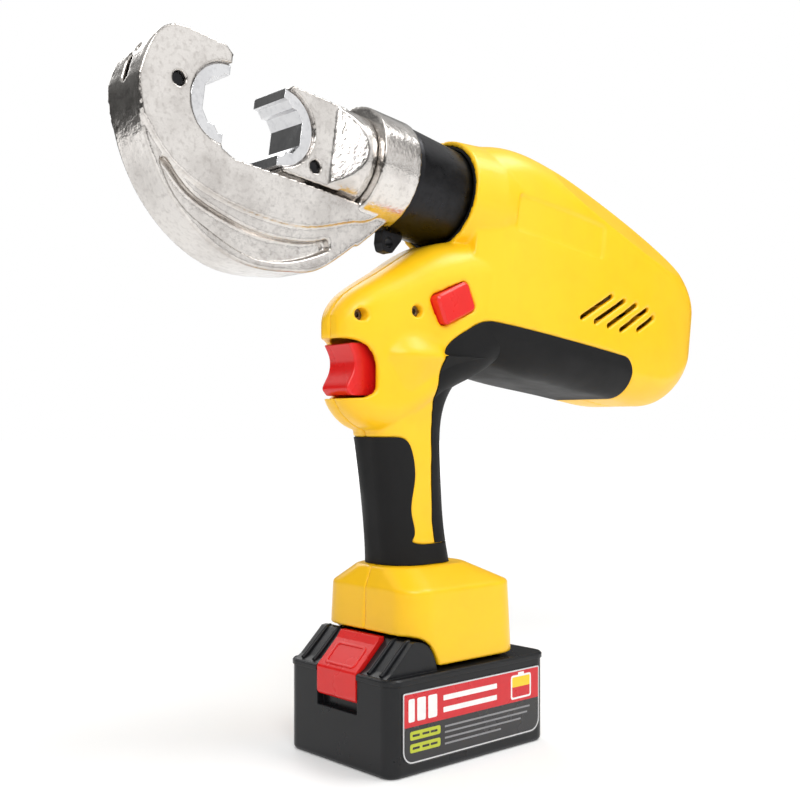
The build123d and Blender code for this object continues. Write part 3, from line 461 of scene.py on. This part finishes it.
def battery_label(name, side):
    """The label on one side of the battery: a silver line round a red band over a dark field."""
    shape = bmesh.new()
    width, height, corner = 98.0, 35.0, 7.0
    # How far in the silver line and the dark field start.
    line, field = 0.6, 1.3
    slab(shape, rounded_outline((0, 0), (width, height), [corner, corner, 1.5, 1.5]), -0.3, 0.03, printed)
    ring = rounded_outline((line, line), (width - line, height - line), [corner - line, corner - line, 1, 1])
    slab(shape, ring, -0.1, 0.05, ink_silver)
    radii = [corner - field, corner - field, 0.6, 0.6]
    slab(shape, rounded_outline((field, field), (width - field, height - field), radii), -0.1, 0.07, printed)
    bar(shape, field, 18.0, width - 2 * field, 15.7, ink_red, 0.085, 0.5)
    # Plain bars where such a label carries its wording.
    for x, length in ((4.0, 4.0), (9.6, 5.6), (16.8, 6.0)):
        bar(shape, x, 20.3, length, 11.0, ink_white, 0.1, 0.8)
    for y, length in ((27.2, 38.0), (21.4, 38.0)):
        bar(shape, 27.0, y, length, 2.6, ink_white)
    bar(shape, 75.5, 19.4, 15.5, 12.4, ink_white, 0.1, 1.4)
    bar(shape, 76.5, 20.4, 13.5, 10.4, ink_red, 0.11, 0.9)
    bar(shape, 76.5, 25.6, 13.5, 5.2, ink_yellow, 0.12, 0.7)
    bar(shape, 81.0, 31.8, 4.5, 1.2, ink_white, 0.1, 0.3)
    for y in (11.6, 5.6):
        bar(shape, 5.0, y, 20.0, 4.2, ink_lime, 0.1, 1.0)
        for x in (6.6, 13.0, 18.4):
            bar(shape, x, y + 1.5, 4.6, 1.1, printed, 0.11, 0.2)
    for y, length in ((14.0, 62.0), (11.2, 60.0), (8.4, 55.0), (5.6, 40.0)):
        bar(shape, 28.0, y, length, 0.9, ink_grey, 0.1, 0.2)
    shape.normal_update()
    mesh = bpy.data.meshes.new(name)
    shape.to_mesh(mesh)
    shape.free()
    for ink in LABEL_INKS:
        mesh.materials.append(ink.material)
    made = bpy.data.objects.new(name, mesh)
    scene.collection.objects.link(made)
    low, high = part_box("battery_labels")
    across = Vector((1, 0, 0)) * -side
    outward = Vector((0, side, 0))
    start = low.x if side < 0 else high.x
    face = low.y if side < 0 else high.y
    # The print is laid out in millimetres, so the placing matrix scales it to metres.
    axes = Matrix((across, Vector((0, 0, 1)), outward)).transposed() * 0.001
    mesh.transform(Matrix.Translation((start, face - side * 0.00013, low.z)) @ axes.to_4x4())
    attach(made, "battery")
    return made


right_label = battery_label("label_right", -1)
left_label = battery_label("label_left", 1)
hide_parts("battery_labels")
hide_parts("battery_labels")

# ---- Battery details ------------------------------------------------------------------------------------

# The battery button's slope: its lowest left corner in metres, its run and rise in millimetres.
SLOPE_CORNER = (-0.0559, 0.015, 0.0468)
SLOPE_RUN = 12.7
SLOPE_RISE = 12.4


def border(shape, outer, inner, bottom, top):
    """A closed frame between two outlines with the same number of points."""
    loops = [[shape.verts.new((x, y, z)) for x, y in line] for line in (outer, inner) for z in (bottom, top)]
    outer_low, outer_high, inner_low, inner_high = loops
    count = len(outer)
    for i in range(count):
        j = (i + 1) % count
        for first, second in ((outer_low, outer_high), (outer_high, inner_high),
                              (inner_high, inner_low), (inner_low, outer_low)):
            shape.faces.new((first[i], first[j], second[j], second[i]))


def button_rim():
    """The raised line round the thumb pad on the battery button's slope, laid out in millimetres."""
    shape = bmesh.new()
    outer = rounded_outline((3.5, 2.2), (26.5, 15.6), [2.6] * 4)
    inner = rounded_outline((5.0, 3.7), (25.0, 14.1), [1.6] * 4)
    border(shape, outer, inner, -0.4, 0.45)
    mesh = bpy.data.meshes.new("battery_button_rim")
    shape.to_mesh(mesh)
    shape.free()
    up_slope = Vector((SLOPE_RUN, 0.0, SLOPE_RISE)).normalized()
    outward = Vector((-SLOPE_RISE, 0.0, SLOPE_RUN)).normalized()
    axes = Matrix((Vector((0, -1, 0)), up_slope, outward)).transposed() * 0.001
    mesh.transform(Matrix.Translation(SLOPE_CORNER) @ axes.to_4x4())
    mesh.materials.append(red.material)
    made = bpy.data.objects.new("battery_button_rim", mesh)
    scene.collection.objects.link(made)
    bevel = made.modifiers.new("bevel", "BEVEL")
    bevel.width = 0.00025
    bevel.segments = 2
    settle(made)
    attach(made, "battery_button")


button_rim()


def wedge_rib(name, y):
    """A rounded rib up the battery's front wedge."""
    path = bpy.data.curves.new(name, "CURVE")
    path.dimensions = "3D"
    line = path.splines.new("NURBS")
    points = [(-53.0, 47.6), (-50.3, 49.6), (-44.0, 55.5), (-38.5, 60.6), (-36.6, 61.9), (-34.9, 61.9)]
    line.points.add(len(points) - 1)
    for place, (x, z) in zip(line.points, points):
        place.co = (x / 1000, y / 1000, z / 1000, 1.0)
    line.order_u = 3
    line.use_endpoint_u = True
    path.bevel_depth = 0.0012
    path.bevel_resolution = 4
    path.use_fill_caps = True
    made = bpy.data.objects.new(name, path)
    scene.collection.objects.link(made)
    mesh = bpy.data.meshes.new_from_object(made.evaluated_get(bpy.context.evaluated_depsgraph_get()))
    bpy.data.objects.remove(made)
    mesh.materials.clear()
    mesh.materials.append(dark.material)
    rib = bpy.data.objects.new(name, mesh)
    scene.collection.objects.link(rib)
    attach(rib, "battery")


for number, y in enumerate((-30.5, -21.5, 21.5, 30.5)):
    wedge_rib(f"wedge_rib_{number}", y)

# ---- Stage, light and camera ----------------------------------------------------------------------------

floor_mesh = bpy.data.meshes.new("floor")
floor_shape = bmesh.new()
bmesh.ops.create_circle(floor_shape, cap_ends=True, segments=96, radius=14.0)
floor_shape.to_mesh(floor_mesh)
floor_shape.free()
floor = bpy.data.objects.new("floor", floor_mesh)
scene.collection.objects.link(floor)
# The floor glows with painted light: faint out to 0.7 m from the origin, full from 3.2 m, where it meets the
# white backdrop.
floor_paint = Surface("floor_paint", (0.9, 0.9, 0.9), 0.7)
floor_paint.shader.inputs["Emission Color"].default_value = (1.0, 1.0, 1.0, 1.0)
distance = floor_paint.node("ShaderNodeVectorMath", operation="LENGTH")
floor_paint.link(floor_paint.place, distance.inputs[0])
painted_floor_glow = floor_paint.node("ShaderNodeMapRange")
for socket, value in (("From Min", 0.7), ("From Max", 3.2), ("To Min", 0.12), ("To Max", 1.0)):
    painted_floor_glow.inputs[socket].default_value = value
floor_paint.link(distance.outputs["Value"], painted_floor_glow.inputs["Value"])
floor_paint.link(painted_floor_glow.outputs["Result"], floor_paint.shader.inputs["Emission Strength"])
floor_paint.drift((0.87, 0.87, 0.865), 0.8)
floor_mesh.materials.append(floor_paint.material)

world = bpy.data.worlds.new("studio")
scene.world = world
world.use_nodes = True
sky = world.node_tree
lit = sky.nodes["Background"]
seen = sky.nodes.new("ShaderNodeBackground")
seen.inputs["Color"].default_value = (1.0, 1.0, 1.0, 1.0)
direction = sky.nodes.new("ShaderNodeTexCoord")
height = sky.nodes.new("ShaderNodeSeparateXYZ")
tone = sky.nodes.new("ShaderNodeValToRGB")
sky.links.new(direction.outputs["Generated"], height.inputs["Vector"])
sky.links.new(height.outputs["Z"], tone.inputs["Fac"])
tone.color_ramp.elements[0].position = 0.0
tone.color_ramp.elements[0].color = (0.07, 0.068, 0.065, 1.0)
tone.color_ramp.elements[1].position = 1.0
tone.color_ramp.elements[1].color = (1.0, 1.0, 1.0, 1.0)
for place, grey in ((0.15, 0.12), (0.32, 0.22), (0.42, 0.2), (0.6, 0.85)):
    stop = tone.color_ramp.elements.new(place)
    stop.color = (grey, grey, grey * 0.99, 1.0)
sky.links.new(tone.outputs["Color"], lit.inputs["Color"])
lit.inputs["Strength"].default_value = 0.62
ray = sky.nodes.new("ShaderNodeLightPath")
choose = sky.nodes.new("ShaderNodeMixShader")
sky.links.new(ray.outputs["Is Camera Ray"], choose.inputs["Fac"])
sky.links.new(lit.outputs["Background"], choose.inputs[1])
sky.links.new(seen.outputs["Background"], choose.inputs[2])
sky.links.new(choose.outputs["Shader"], sky.nodes["World Output"].inputs["Surface"])


def soft_light(name, place, target, size, power):
    """A large square lamp that faces a point."""
    lamp = bpy.data.lights.new(name, "AREA")
    lamp.shape = "RECTANGLE"
    lamp.size, lamp.size_y = size
    lamp.energy = power
    holder = bpy.data.objects.new(name, lamp)
    holder.location = place
    holder.rotation_euler = (Vector(target) - Vector(place)).to_track_quat("-Z", "Y").to_euler()
    scene.collection.objects.link(holder)


soft_light("key_light", (-0.9, -1.1, 1.3), (0, 0, 0.2), (0.9, 0.9), 17)
soft_light("fill_light", (0.56, -1.23, 0.81), (-0.1, 0, 0.3), (1.2, 1.0), 3.7)
soft_light("rim_light", (0.3, 1.3, 1.0), (0, 0, 0.2), (1.2, 0.8), 7)
soft_light("top_light", (0.55, -0.45, 1.4), (0.1, 0, 0.25), (0.8, 0.5), 8)

camera_data = bpy.data.cameras.new("camera")
camera_data.lens = 50.0
camera_data.sensor_width = 36.0
camera_data.shift_y = 0.035
camera = bpy.data.objects.new("camera", camera_data)
camera.location = (-0.3984, -0.4277, 0.1656)
camera.rotation_euler = Vector((0.6691, 0.7431, 0.0)).to_track_quat("-Z", "Y").to_euler()
scene.collection.objects.link(camera)
scene.camera = camera
scene.view_settings.view_transform = "Standard"
